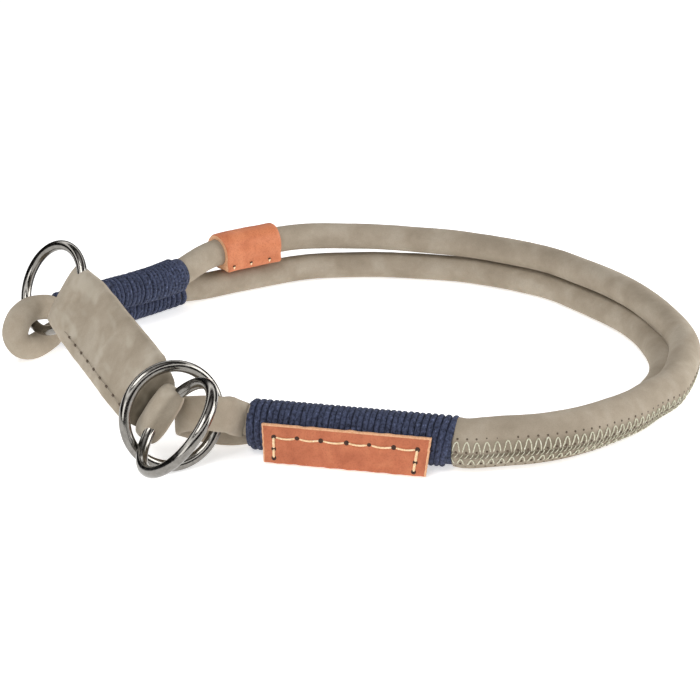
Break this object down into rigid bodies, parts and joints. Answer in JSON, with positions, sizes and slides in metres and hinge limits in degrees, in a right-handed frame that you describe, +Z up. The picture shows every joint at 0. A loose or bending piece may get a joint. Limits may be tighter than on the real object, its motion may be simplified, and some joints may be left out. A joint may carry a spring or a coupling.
{
  "type": "dog collar",
  "caption": "Limited-slip dog collar of round suede cord with a thicker front band, thread whippings, leather labels and metal rings on a folded slip strap.",
  "frame": {"origin": "middle of the collar's footprint, on the surface it lies on", "axes": "+X along the loop's long way, from the eyes and rings to the bend; +Y from the front band to the back cords; +Z up"},
  "size_m": [0.1898, 0.1672, 0.0328],
  "materials": {
    "suede": "napped suede",
    "navy_thread": "tightly wound thread",
    "label_leather": "smooth, satin",
    "ring_metal": "polished dark nickel"
  },
  "bodies": {
    "root": {"main_cord": "suede", "return_cord": "suede", "back_eye": "suede", "front_eye": "suede", "slip_strap": "suede", "back_whipping": "navy_thread", "front_whipping": "navy_thread", "front_label": "label_leather", "back_label": "label_leather", "back_ring": "ring_metal", "front_ring": "ring_metal", "leash_ring": "ring_metal"}
  },
  "joints": []
}
